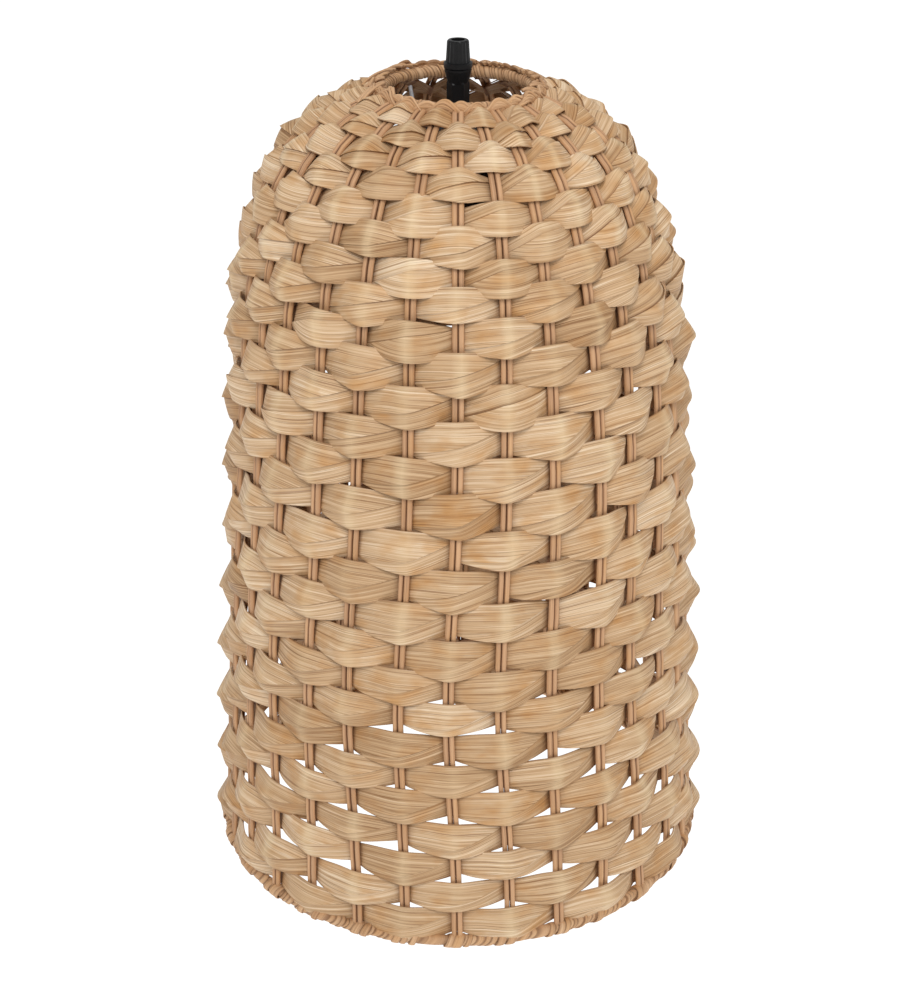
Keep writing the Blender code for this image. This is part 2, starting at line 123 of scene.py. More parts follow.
# Rims.
TOP_RADIUS = 41 * MM
TAILS_FROM, TAILS_MISSED = math.radians(50), 0.3  # angle from the front, and share left out beyond it
WRAP_RADIUS = 2.9 * MM
TOP_WRAP = {"turns": 124, "width": 2.7 * MM, "thickness": 0.42 * MM, "jitter": 0.3}
BOTTOM_WRAP = {"turns": 215, "width": 7.0 * MM, "thickness": 0.45 * MM, "jitter": 0.38}
WRAP_LINES, WRAP_SIDES = 9, 20  # lines across one turn's width, and points round its section
CANE_TINT = (0.5, 0.16)
CANE_SIDES = 12
ANGLE_WANDER = 0.01  # how far a rim cane strays round the axis


# ---------------------------------------------------------------- the wall's line, read from the frame


def mean_ring(node):
    """(mean radius, mean z) of a CAD node that goes round the axis."""
    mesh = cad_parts[node].data
    points = np.empty(3 * len(mesh.vertices), np.float32)
    mesh.vertices.foreach_get("co", points)
    points = points.reshape(-1, 3).astype(float)
    return np.hypot(points[:, 0], points[:, 1]).mean(), points[:, 2].mean()


def smooth_curve(knots, values, places):
    """Values at places on a curve that passes smoothly through the knots."""
    slopes = np.gradient(values, knots)
    k = np.clip(np.searchsorted(knots, places, side="right") - 1, 0, len(knots) - 2)
    width = knots[k + 1] - knots[k]
    t = (places - knots[k]) / width
    rise = values[k + 1] - values[k]
    start, end = slopes[k] * width, slopes[k + 1] * width
    return values[k] + t * (start + t * (3 * rise - 2 * start - end + t * (start + end - 2 * rise)))


class Wall:
    """The wall's middle line, with its own distance scale from the bottom ring upwards."""

    def __init__(self, nodes):
        rings = np.array([mean_ring(node) for node in nodes])
        chords = np.hypot(*np.diff(rings, axis=0).T)
        knots = np.concatenate([[0], np.cumsum(chords)])
        fine_points = 3001
        fine = np.linspace(0, knots[-1], fine_points)
        radius = smooth_curve(knots, rings[:, 0], fine)
        z = smooth_curve(knots, rings[:, 1], fine)
        lengths = np.concatenate([[0], np.cumsum(np.hypot(np.diff(radius), np.diff(z)))])
        self.length = lengths[-1]
        self.ring_places = np.interp(knots, fine, lengths)
        run = 15 * MM  # straight run past each ring
        ends = [(radius[k] - radius[j], z[k] - z[j]) for k, j in ((0, 1), (-1, -2))]
        ends = [(dr * run / math.hypot(dr, dz), dz * run / math.hypot(dr, dz)) for dr, dz in ends]
        self.along = np.concatenate([[-run], lengths, [self.length + run]])
        self.radius = np.concatenate([[radius[0] + ends[0][0]], radius, [radius[-1] + ends[1][0]]])
        self.z = np.concatenate([[z[0] + ends[0][1]], z, [z[-1] + ends[1][1]]])
        self.radial = np.gradient(self.radius, self.along)
        self.upward = np.gradient(self.z, self.along)

    def radius_at(self, along):
        return np.interp(along, self.along, self.radius)

    def point(self, along, angle, offset):
        share = np.asarray(along) / self.length
        offset = offset + LEAN * np.sin(angle) * np.exp(-(((share - LEAN_CENTRE) / LEAN_WIDTH) ** 2))
        radius = self.radius_at(along) + offset * np.interp(along, self.along, self.upward)
        z = np.interp(along, self.along, self.z) - offset * np.interp(along, self.along, self.radial)
        angle, radius, z = np.broadcast_arrays(angle, radius, z)
        return np.stack((radius * np.sin(angle), -radius * np.cos(angle), z), axis=-1)

    def outward(self, along, angle):
        """The direction square to the wall."""
        return (self.point(along, angle, MM) - self.point(along, angle, 0.0)) / MM


ROW_NODES = [f"weaver_row_{row + 1:02d}" for row in range(ROWS)]
WALL = Wall(["bottom_ring_wire", *ROW_NODES, "top_ring_wire"])
ROW_PLACES = WALL.ring_places[1:-1]


def make_drift():
    """How far each stake strays round the axis, as a table of stake and place along the wall."""
    share = np.linspace(0, 1, DRIFT_STEPS)
    common = COMMON_DRIFT * np.exp(-(((share - DRIFT_CENTRE) / DRIFT_WIDTH) ** 2))
    table = np.tile(common, (STAKES, 1))
    for waves in (1, 2, 3):
        phases = RNG.uniform(0, math.tau, (STAKES, 1))
        sizes = RNG.normal(0, OWN_DRIFT / waves, (STAKES, 1))
        table += sizes * np.sin(math.pi * waves * share + phases)
    return table


DRIFT = make_drift()


def stake_angle(position, along):
    """Angle of a place given in stake spacings from the front stake, following the stakes' drift."""
    position, along = np.broadcast_arrays(np.asarray(position, float), np.asarray(along, float))
    step = np.clip(along / WALL.length, 0, 1) * (DRIFT_STEPS - 1)
    low = np.minimum(step.astype(int), DRIFT_STEPS - 2)
    share = step - low
    stake = np.floor(position).astype(int)
    between = position - stake
    strays = [
        DRIFT[k % STAKES, low] * (1 - share) + DRIFT[k % STAKES, low + 1] * share
        for k in (stake, stake + 1)
    ]
    return position * STEP + strays[0] * (1 - between) + strays[1] * between


# ---------------------------------------------------------------- random values


def spread(mean, deviation):
    """A random number near the mean, never more than two deviations away."""
    return mean + deviation * float(np.clip(RNG.normal(), -2, 2))


def random_tint(centre=0.5, deviation=0.2):
    """Lightness, warmth, painted shade and paleness of one strip or cane; the first two are random."""
    light, warm = np.clip(RNG.normal(centre, deviation, 2), 0, 1)
    return np.array([light, warm, 0.0, 1.0])


def fibre_start():
    """A random place in the fibre pattern, so that strips and canes differ."""
    pattern_length = 9
    return RNG.uniform(0, pattern_length)


# ---------------------------------------------------------------- mesh making


class Piece:
    """Gathers patches of a mesh, with a UV place and a tint for each point."""

    def __init__(self, name):
        self.name = name
        self.points, self.faces, self.uvs, self.tints = [], [], [], []
        self.count = 0

    def add(self, points, faces, uv, tint):
        points = np.asarray(points).reshape(-1, 3)
        self.points.append(points)
        self.faces.append(np.asarray(faces) + self.count)
        self.uvs.append(np.asarray(uv).reshape(-1, 2))
        self.tints.append(np.broadcast_to(tint, (len(points), 4)))
        self.count += len(points)

    def finish(self, material, body, replaces=(), sharp=40):
        """Makes the object. Edges that bend more than sharp degrees stay sharp."""
        mesh = bpy.data.meshes.new(self.name)
        points, faces = np.concatenate(self.points), np.concatenate(self.faces)
        mesh.from_pydata(points.tolist(), [], faces.tolist())
        corners = faces.ravel()
        layer = mesh.uv_layers.new(name="fibre")
        layer.data.foreach_set("uv", np.concatenate(self.uvs)[corners].ravel())
        tint = mesh.color_attributes.new("tint", "FLOAT_COLOR", "POINT")
        tint.data.foreach_set("color", np.concatenate(self.tints).ravel())
        mesh.shade_smooth()
        mesh.set_sharp_from_angle(angle=math.radians(sharp))
        mesh.materials.append(material)
        obj = bpy.data.objects.new(self.name, mesh)
        bpy.context.scene.collection.objects.link(obj)
        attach(obj, body)
        if replaces:
            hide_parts(*replaces)


def grid_faces(columns, lines, start=0):
    """Faces of a grid whose points are numbered column by column, seen from its outer side."""
    i, j = np.meshgrid(np.arange(columns - 1), np.arange(lines - 1), indexing="ij")
    corner = (start + i * lines + j).ravel()
    return np.stack((corner, corner + lines, corner + lines + 1, corner + 1), axis=-1)


def add_shell(piece, front, back, uv, tint):
    """Adds a closed thin sheet between two matching grids of points."""
    columns, lines = front.shape[:2]
    count = columns * lines
    index = np.arange(count).reshape(columns, lines)
    faces = [grid_faces(columns, lines), grid_faces(columns, lines, count)[:, ::-1]]
    edges = (index[:, 0], index[-1, :], index[::-1, -1], index[0, ::-1])
    for edge in edges:
        faces.append(np.stack((edge[:-1], edge[:-1] + count, edge[1:] + count, edge[1:]), axis=-1))
    points = np.concatenate([front.reshape(-1, 3), back.reshape(-1, 3)])
    doubled = np.concatenate([uv.reshape(-1, 2)] * 2)
    inner = tint.copy()
    # Painted shade on the side of the strip that faces into the shade, where little light falls.
    inner[..., 2] = np.maximum(inner[..., 2], PAINTED_INNER_SHADE)
    tints = np.concatenate([tint.reshape(-1, 4), inner.reshape(-1, 4)])
    piece.add(points, np.concatenate(faces), doubled, tints)


def circle_steps(sides):
    return np.linspace(0, math.tau, sides, endpoint=False)


def add_sweep(piece, path, wide, thick, width, thickness, sides, tint, uv_start=0.0):
    """Adds a closed solid with an oval section along a path, with a direction for each half-axis."""
    path = np.asarray(path)
    count = len(path)
    turns = circle_steps(sides)
    width = np.broadcast_to(width, count)[:, None, None]
    thickness = np.broadcast_to(thickness, count)[:, None, None]
    ring = wide[:, None] * np.cos(turns)[None, :, None] * width
    ring = ring + thick[:, None] * np.sin(turns)[None, :, None] * thickness
    points = (path[:, None] + ring).reshape(-1, 3)
    steps = np.linalg.norm(np.diff(path, axis=0), axis=1)
    along = uv_start + np.concatenate([[0], np.cumsum(steps)])
    uv = np.stack(np.broadcast_arrays(along[:, None], turns[None] * float(width.mean())), axis=-1)
    i, j = np.meshgrid(np.arange(count - 1), np.arange(sides), indexing="ij")
    here, ahead = i * sides, (i + 1) * sides
    after = (j + 1) % sides
    faces = np.stack((here + j, here + after, ahead + after, ahead + j), axis=-1).reshape(-1, 4)
    caps = []
    for base, flip in ((0, True), ((count - 1) * sides, False)):
        for k in range(1, sides // 2):
            cap = (base + k - 1, base + k, base + sides - 1 - k, base + (sides - k) % sides)
            caps.append(cap[::-1] if flip else cap)
    piece.add(points, np.concatenate([faces, np.array(caps)]), uv, tint)


# ---------------------------------------------------------------- the weave


def rounded_bend(u, softness):
    """0 at the middle and 1 at the ends, straight apart from a rounded middle."""
    return (np.hypot(u, softness) - softness) / (math.hypot(1, softness) - softness)


class Segment:
    """One visible length of a leaf strip: a face above a slanting fold and a flap below it."""

    def __init__(self, row, stake):
        pitch = float(np.gradient(ROW_PLACES)[row])
        self.place = ROW_PLACES[row] + spread(*ROW_WANDER)
        self.stake = stake
        self.spacing = STEP * float(WALL.radius_at(self.place))
        narrowing = 1 - LOW_GAP * math.exp(-((row / LOW_ROWS) ** 2))
        self.height = USUAL_PITCH * (pitch / USUAL_PITCH) ** PITCH_SHARE * narrowing
        self.relief = min(1.0, self.spacing / FULL_SPACING) ** RELIEF_POWER
        turned = MOST_TURNED / (1 + math.exp((TURN_ROW - row) / TURN_SPREAD))
        self.turn = -1 if RNG.random() < turned else 1
        middle = spread(*SEGMENT_MIDDLE)
        self.u = self.find_columns(middle)
        self.find_edges(middle)
        self.fold = self.find_fold(middle)
        self.ridge = self.relief * spread(*RIDGE) * (1 - np.abs(self.u) ** RIDGE_POWER)
        shoulder = math.exp(-(((row - SHOULDER_ROW) / SHOULDER_SPREAD) ** 2))
        self.stand = STAND_OUT + SHOULDER_OUT * shoulder
        self.waves = RNG.normal(0, 1, (3, 3))
        self.tint = random_tint(*STRIP_TINT)
        self.paleness = RNG.uniform(*PALENESS)
        self.pale_place = spread(*PALE_PLACE)

    def find_columns(self, middle):
        """Places of the grid's columns, evenly spaced on each side of the middle."""
        half = SEGMENT_COLUMNS // 2
        left = np.linspace(-SEGMENT_REACH, middle, half)
        right = np.linspace(middle, SEGMENT_REACH, half + 1)[1:]
        return np.concatenate((left, right))

    def find_edges(self, middle):
        """The face's free edge above and the flap's free edge below."""
        u = self.u
        off_middle = np.where(u < middle, (middle - u) / (1 + middle), (u - middle) / (1 - middle))
        hump = np.clip(1 - rounded_bend(off_middle, HUMP_SOFTNESS[self.turn]), 0, 1)
        lean = spread(*SEGMENT_LEAN)
        edge = TOP_EDGE if self.turn > 0 else spread(*END_HEIGHT) - TOP_EDGE
        self.top = edge + spread(*EDGE_WANDER) + ARCH[self.turn] * (1 - u**2) + lean * u
        self.bottom = edge - spread(*END_HEIGHT) - spread(*HUMP[self.turn]) * hump + lean * u

    def find_fold(self, middle):
        """The fold runs from the lower left corner to the middle, then up to the top right corner."""
        depth = -spread(*FOLD_DEPTH)
        least_flap, least_face = FOLD_MARGINS
        left = np.interp(self.u, [-SEGMENT_REACH, middle], [self.bottom[0] + least_flap, depth])
        right = np.interp(self.u, [middle, SEGMENT_REACH], [depth, self.top[-1] - spread(*FOLD_END)])
        fold = np.where(self.u <= middle, left, right)
        beside, own = FOLD_WEIGHTS
        smoothed = fold.copy()
        smoothed[1:-1] = beside * fold[:-2] + own * fold[1:-1] + beside * fold[2:]
        return np.clip(smoothed, self.bottom + least_flap, self.top - least_face)

    def offset(self, u, v, bulge):
        over_stake = 1 - 2 * rounded_bend(u, SWING_BEND)
        swing = STRIP_SWING * (LEAST_SWING + SPACED_SWING * self.relief) * over_stake
        stand = self.stand * (1 - np.minimum(u**2, 1))
        tilt = -STRIP_TILT * v * self.turn
        buckle = sum(
            size * np.sin((k + 1) * WAVES_ALONG * u + 2 * first + (WAVES_ACROSS + k) * v + second)
            for k, (size, first, second) in enumerate(self.waves)
        )
        return swing + stand + tilt + bulge + BUCKLE * buckle * (1 - BUCKLE_FADE * u**2)

    def grid(self, v, bulge):
        """Front and back points of a patch, given the height and bulge of each point."""
        u = np.broadcast_to(self.u[:, None], v.shape)
        along = self.place + self.turn * v * self.height
        angle = stake_angle(self.stake + self.turn * u, along)
        offset = self.offset(u, v, bulge)
        front = WALL.point(along, angle, offset)
        back = WALL.point(along, angle, offset - STRIP_THICKNESS)
        return front, back

    def add_patch(self, piece, v, bulge, across, shade, shadow):
        front, back = self.grid(v, bulge)
        u = self.u[:, None]
        along = u * self.spacing + fibre_start()
        uv = np.stack(np.broadcast_arrays(along, across + fibre_start()), axis=-1)
        tint = np.empty((*v.shape, 4))
        tint[...] = self.tint
        tint[..., 0] = np.clip(tint[..., 0] + shade, 0, 1)
        # Painted shade where the ends go behind the next strips, and the painted lines passed in as
        # shadow.
        tint[..., 2] = np.maximum(np.clip((np.abs(u) - PAINTED_SHADE_FROM) / PAINTED_SHADE_RISE, 0, 1), shadow)
        # Pale band over the stake: partly the leaf's paler bend, partly a painted highlight.
        tint[..., 3] = self.paleness * np.exp(-(((u - self.pale_place) / PALE_WIDTH) ** 2))
        add_shell(piece, front, back, uv, tint)

    def add_face(self, piece):
        share = np.array(FACE_STEPS)[None]
        v = self.fold[:, None] + (self.top - self.fold)[:, None] * share
        arch = FACE_BULGE * np.sin(math.pi * share) * (1 - self.u[:, None] ** 2)
        bulge = self.ridge[:, None] * (1 - share) + arch
        across = (v - self.top[:, None]) * self.height
        # The dark line along the face's free edge is partly painted shadow, partly the leaf's darker dry
        # edge.
        self.add_patch(piece, v, bulge, across, FACE_SHADE, EDGE_SHADOW_AND_DRY_EDGE * (share > NEAR_EDGE))

    def add_flap(self, piece):
        upper = np.minimum(self.fold + FLAP_START, self.top - FLAP_MARGIN)
        below = np.array(FLAP_STEPS)[None]
        v = upper[:, None] - (upper - self.bottom)[:, None] * below
        depth = np.clip((self.fold - self.bottom)[:, None] / FULL_FLAP, 0, 1) * below
        straight, curved = CURL_SHAPE
        fade = 1 - CURL_FADE * np.abs(self.u[:, None]) ** CURL_POWER
        curl = self.relief * FLAP_CURL * (straight * depth + curved * depth**2) * fade
        tuck = np.interp(self.u, LAP_SPAN, LAP)[:, None] * (1 - LAP_FADE * below)
        slope = np.gradient(self.fold, self.u)[:, None]
        steepness = np.hypot(1, slope * self.height / (STEP * MEAN_RADIUS))
        across = (v - self.fold[:, None]) * self.height / steepness
        # The painted shadow line under the fold, then the dark line along the free edge.
        line = np.interp(self.u, SHADOW_SPAN, (RNG.uniform(*LEFT_SHADOW), RIGHT_SHADOW))[:, None]
        shadow = line * (below < NEAR_FOLD) * SHADOW_SHARE[self.turn]
        shadow = shadow + EDGE_SHADOW_AND_DRY_EDGE * (below > NEAR_EDGE)
        bulge = self.ridge[:, None] * FLAP_LIFT - curl - tuck
        self.add_patch(piece, v, bulge, across, spread(*FLAP_SHADE), shadow)


def build_rows(leaf):
    for row in range(ROWS):
        piece = Piece(f"leaf_strip_row_{row + 1:02d}")
        first = (row + 1) % 2
        for stake in range(first, STAKES, 2):
            segment = Segment(row, stake)
            segment.add_face(piece)
            segment.add_flap(piece)
        piece.finish(leaf, "shade", [ROW_NODES[row]], sharp=60)


def stake_path(stake, side, start, end):
    """The middle line of one cane of a stake pair, leaning away from the strips that cross it."""
    along = np.linspace(start, end, STAKE_SECTIONS)
    over = [1.0 if (row + stake) % 2 else -1.0 for row in range(ROWS)]
    offset = -CANE_YIELD * np.interp(along, ROW_PLACES, over)
    angle = stake_angle(float(stake), along) + side / WALL.radius_at(along)
    path = WALL.point(along, angle, offset)
    out = WALL.outward(along, angle)
    across = np.stack((np.cos(angle), np.sin(angle), 0 * angle), axis=-1)
    return path, across, out


def add_stake_cane(piece, stake, side):
    """One cane of a pair. Painted shade darkens it on the side where the two canes meet."""
    shade_slope, shade_start, most_shade = 2.4, 1.2, 0.9
    apart = side * CANE_APART * spread(1.0, 0.03)
    path, across, out = stake_path(stake, apart, 0.5 * MM, WALL.length - MM)
    thick = CANE_RADIUS * spread(1.0, 0.06)
    tint = np.tile(random_tint(), (STAKE_SECTIONS, STAKE_SIDES, 1))
    facing = -side * np.cos(circle_steps(STAKE_SIDES))
    # Painted shade in the groove between the two canes.
    tint[..., 2] = np.clip(shade_slope * facing - shade_start, 0, most_shade)
    tint = tint.reshape(-1, 4)
    add_sweep(piece, path, across, out, thick, thick, STAKE_SIDES, tint, fibre_start())


def build_stakes(cane):
    for group in range(STAKES // GROUP):
        piece = Piece(f"cane_stakes_{group + 1:02d}")
        for stake in range(group * GROUP, (group + 1) * GROUP):
            for side in (-1, 1):
                add_stake_cane(piece, stake, side)
        piece.finish(cane, "shade", [f"stake_group_{group + 1:02d}"])


# ---------------------------------------------------------------- the rims


def ring_frame(along, angle):
    """Centre, outward and upward directions of a rim's ring at each angle."""
    centre = WALL.point(along, angle, 0.0)
    outward = np.stack((np.sin(angle), -np.cos(angle), 0 * angle), axis=-1)
    upward = np.broadcast_to([0.0, 0.0, 1.0], outward.shape)
    return centre, outward, upward


def wind_turns(wrap):
    """The angle where each turn of a winding starts, its height over the ring and its tint."""
    count = wrap["turns"]
    widths = np.exp(RNG.normal(0, wrap["jitter"], count))
    starts = np.concatenate([[0], np.cumsum(widths)]) / widths.sum() * math.tau
    unevenness = 0.2 + 1.6 * wrap["jitter"]
    heights = RNG.normal(0, unevenness, count + 1) * wrap["thickness"]
    heights[-1] = heights[0]
    tints = np.array([random_tint(*CANE_TINT) for _ in range(count)])
    return starts, heights, tints


def torus_faces(count, sides):
    """Faces of a ring of count sections that closes on itself, with points numbered section by section."""
    i, j = np.meshgrid(np.arange(count), np.arange(sides), indexing="ij")
    here, ahead = i * sides, (i + 1) % count * sides
    after = (j + 1) % sides
    return np.stack((here + j, ahead + j, ahead + after, here + after), axis=-1).reshape(-1, 4)


def build_wound_ring(name, along, wrap, material, nodes):
    """A ring wire wound closely with cane: a torus whose surface steps from one turn to the next."""
    flatness = 5.0  # how squarely a turn's edges fall off
    crossing = 0.6  # where round the section a turn crosses square to the ring
    turn_apart = 0.7  # how far apart two turns lie in the fibre pattern
    most_shade = 0.7
    starts, heights, tints = wind_turns(wrap)
    lines = np.linspace(0.0, 1.0, WRAP_LINES, endpoint=False) + 0.5 / WRAP_LINES
    share = np.tile(lines, wrap["turns"])
    turn = np.repeat(np.arange(wrap["turns"]), WRAP_LINES)
    angle = starts[turn] + share * (starts[turn + 1] - starts[turn])
    off_middle = np.abs(2 * share - 1)  # 0 at the middle of a turn's width and 1 at its edges
    radius = WRAP_RADIUS + heights[turn] + (1 - off_middle**flatness) * wrap["thickness"]
    around = circle_steps(WRAP_SIDES)
    slant = wrap["width"] / WALL.radius_at(along) * 0.5
    angles = angle[:, None] + slant * np.sin(around + crossing)[None]
    centre, outward, upward = ring_frame(along, angles)
    ring = outward * np.cos(around)[None, :, None] + upward * np.sin(around)[None, :, None]
    points = centre + ring * radius[:, None, None]
    fibre_along = around * WRAP_RADIUS + turn_apart * turn[:, None]
    fibre_across = np.broadcast_to(share[:, None] * wrap["width"], fibre_along.shape)
    uv = np.stack((fibre_along, fibre_across), axis=-1)
    tint = np.repeat(tints[turn][:, None], WRAP_SIDES, axis=1)
    # Painted shade at the edges of each turn, in the grooves between turns.
    tint[..., 2] = np.clip(off_middle * 2 - 1, 0, most_shade)[:, None]
    piece = Piece(name)
    piece.add(points, torus_faces(len(angle), WRAP_SIDES), uv, tint.reshape(-1, 4))
    piece.finish(material, "shade", nodes, sharp=70)


def rim_path(along, angle, section, distance):
    """Points round a rim's ring: section 0 is outward, a quarter turn is up."""
    centre, outward, upward = ring_frame(along, angle)
    away = outward * np.cos(section)[:, None] + upward * np.sin(section)[:, None]
    return centre + away * distance[:, None], away


def add_cane(piece, path, away, width, thickness):
    """A bent cane, with painted shade along its two narrow sides."""
    run = np.gradient(path, axis=0)
    run /= np.linalg.norm(run, axis=1)[:, None]
    wide = np.cross(run, away)
    wide /= np.linalg.norm(wide, axis=1)[:, None]
    thick = np.cross(wide, run)
    tint = np.tile(random_tint(*CANE_TINT), (len(path), CANE_SIDES, 1))
    most_shade, shade_power = 0.8, 6
    # Painted shade along the narrow sides, in the grooves beside the cane.
    tint[..., 2] = most_shade * np.cos(circle_steps(CANE_SIDES)) ** shade_power
    tint = tint.reshape(-1, 4)
    add_sweep(piece, path, wide, thick, width, thickness, CANE_SIDES, tint, fibre_start())


def build_top_loops(cane):
    """At each stake the canes bend over and run along the ring, over their neighbours, and tuck in."""
    piece = Piece("top_rim_loops")
    steps = np.linspace(0, 1, 25)
    strands, apart, fan = 4, 0.13, 0.3  # apart in stake spacings, and fanned out round the section
    lowest, layer = WRAP_RADIUS + 1.2 * MM, 0.2 * MM
    bend_steps = (0, 0.15, 0.45, 0.75, 1.0)
    smoothing = 7  # steps that are averaged
    for stake in range(STAKES):
        reach = spread(2.3, 0.3)
        rise = spread(1.5, 0.7) * MM
        crown = spread(0.75, 0.22)
        for strand in range(strands):
            off_middle = strand - (strands - 1) / 2
            start = stake * STEP + off_middle * apart * STEP
            angle = start + STEP * reach * steps + RNG.normal(0, ANGLE_WANDER)
            bend = (-1.1, -0.1, crown + fan * off_middle, 0.35, -0.8)
            section = np.pad(np.interp(steps, bend_steps, bend), smoothing // 2, mode="edge")
            section = np.convolve(section, np.ones(smoothing) / smoothing, mode="valid")
            distance = lowest + rise * np.sin(math.pi * steps) ** 1.2 + strand * layer
            path, away = rim_path(WALL.length, angle, section, distance)
            add_cane(piece, path, away, spread(1.0, 0.15) * MM, spread(0.85, 0.1) * MM)
    piece.finish(cane, "shade")


def shows_no_tail(stake):
    """True round the front, and at some of the other stakes."""
    from_front = abs((stake * STEP + math.pi) % math.tau - math.pi)
    return from_front < TAILS_FROM or RNG.random() < TAILS_MISSED


def build_top_stubs(cane):
    """Short cut ends of cane that stand out of the top rim."""
    piece = Piece("top_rim_cut_ends")
    steps = np.linspace(0, 1, 7)
    flatness, sides = 0.7, 10
    for stake in range(STAKES):
        if shows_no_tail(stake):
            continue
        angle = (stake + RNG.uniform(0, 1)) * STEP + steps * RNG.uniform(-0.05, 0.05)
        section = RNG.uniform(0.3, 1.1) + 0.3 * steps
        distance = (2.6 + RNG.uniform(2.0, 3.2) * steps) * MM
        path, away = rim_path(WALL.length, angle, section, distance)
        across = np.cross(away, (0.3, 0.2, 1.0))
        across /= np.linalg.norm(across, axis=1)[:, None]
        width = spread(1.7, 0.3) * MM * np.sqrt(1.02 - steps**4)
        thick, tint = np.cross(away, across), random_tint(0.3, 0.1)
        add_sweep(piece, path, across, thick, width, width * flatness, sides, tint)
    piece.finish(cane, "shade")


def build_top_tails(cane):
    """Round the sides and back, the tails of the canes are tucked down again outside the top rows."""
    piece = Piece("top_rim_tails")
    steps = np.linspace(0, 1, 17)
    half_apart, end_dip = 1.5 * MM, 1.5 * MM
    for stake in range(STAKES):
        if shows_no_tail(stake):
            continue
        reach = spread(1.3, 0.4)
        drop = spread(11.0, 3.0) * MM
        lift = spread(5.6, 0.5) * MM
        for strand in (-1, 1):
            start = stake * STEP + strand * half_apart / TOP_RADIUS + RNG.normal(0, ANGLE_WANDER)
            angle = start + STEP * reach * steps
            along = WALL.length + 2.2 * MM - drop * steps**1.3
            arch = np.sin(math.pi * np.clip(0.22 + 0.7 * steps, 0, 1)) ** 0.5
            path = WALL.point(along, angle, lift * arch - end_dip * steps)
            away = WALL.outward(along, angle)
            add_cane(piece, path, away, spread(1.3, 0.12) * MM, spread(1.0, 0.1) * MM)
    piece.finish(cane, "shade")


def build_bottom_knots(cane):
    """Flat wraps that tie each stake to the bottom ring."""
    piece = Piece("bottom_rim_ties")
    around = np.linspace(-0.4, math.tau - 0.3, 26)
    ties, ties_missed = 3, 0.2
    slant, slack = 0.012, 0.4 * MM
    for stake in range(STAKES):
        for tie in range(ties):
            if RNG.random() < ties_missed:
                continue
            angle = stake_angle(float(stake), 0.0) + (tie - 1) * spread(0.030, 0.006)
            angle = angle + slant * np.sin(around)
            distance = WRAP_RADIUS + (0.45 + 0.5 * RNG.random()) * MM
            distance = distance + slack * np.cos(around)
            path, away = rim_path(0.0, angle, around, distance)
            add_cane(piece, path, away, spread(2.3, 0.45) * MM, 0.5 * MM)
    piece.finish(cane, "shade")


# ---------------------------------------------------------------- materials


class Nodes:
    """A short way to build a material's node tree."""

    def __init__(self, name):
        self.material = bpy.data.materials.new(name)
        self.material.use_nodes = True
        self.tree = self.material.node_tree
        self.shader = self.tree.nodes["Principled BSDF"]

    def new(self, kind, **settings):
        node = self.tree.nodes.new(kind)
        for key, value in settings.items():
            setattr(node, key, value)
        return node

    def link(self, source, target):
        self.tree.links.new(source, target)

    def shade(self, source, socket):
        """Lets a pattern drive one of the shader's sockets."""
        self.link(source, self.shader.inputs[socket])

    def set(self, **values):
        for key, value in values.items():
            self.shader.inputs[key.replace("_", " ")].default_value = value

    def feed(self, socket, value):
        """Gives a socket a number or colour, or links another node's output to it."""
        if hasattr(value, "is_linked"):
            self.link(value, socket)
        else:
            socket.default_value = value

    def mapped(self, source, scale):
        node = self.new("ShaderNodeMapping")
        node.inputs["Scale"].default_value = scale
        self.link(source, node.inputs["Vector"])
        return node.outputs["Vector"]

    def noise(self, vector, scale=1.0, detail=3.0, roughness=0.55):
        node = self.new("ShaderNodeTexNoise")
        node.inputs["Scale"].default_value = scale
        node.inputs["Detail"].default_value = detail
        node.inputs["Roughness"].default_value = roughness
        self.link(vector, node.inputs["Vector"])
        return node.outputs["Fac"]

    def ramp(self, value, stops):
        node = self.new("ShaderNodeValToRGB")
        elements = node.color_ramp.elements
        while len(elements) < len(stops):
            elements.new(0.5)
        for element, (place, colour) in zip(elements, stops):
            element.position = place
            element.color = colour if len(colour) == 4 else (*colour, 1.0)
        self.link(value, node.inputs["Fac"])
        return node.outputs["Color"]

    def range(self, value, low, high, new_low, new_high):
        node = self.new("ShaderNodeMapRange")
        numbers = {"From Min": low, "From Max": high, "To Min": new_low, "To Max": new_high}
        for key, number in numbers.items():
            node.inputs[key].default_value = number
        self.link(value, node.inputs["Value"])
        return node.outputs["Result"]

    def mix(self, factor, first, second):
        node = self.new("ShaderNodeMix", data_type="RGBA")
        factor_socket, first_colour, second_colour, mixed_colour = 0, 6, 7, 2
        self.feed(node.inputs[factor_socket], factor)
        self.feed(node.inputs[first_colour], first)
        self.feed(node.inputs[second_colour], second)
        return node.outputs[mixed_colour]

    def math(self, operation, first, second):
        node = self.new("ShaderNodeMath", operation=operation)
        self.feed(node.inputs[0], first)
        self.feed(node.inputs[1], second)
        return node.outputs[0]

    def bump(self, height, strength, distance):
        node = self.new("ShaderNodeBump")
        node.inputs["Strength"].default_value = strength
        node.inputs["Distance"].default_value = distance
        self.link(height, node.inputs["Height"])
        return node.outputs["Normal"]


def srgb(red, green, blue):
    """A colour given in the usual 0 to 255 steps, as linear light."""
    shares = [value / 255 for value in (red, green, blue)]
    linear = [s / 12.92 if s <= 0.04045 else ((s + 0.055) / 1.055) ** 2.4 for s in shares]
    return (*linear, 1.0)


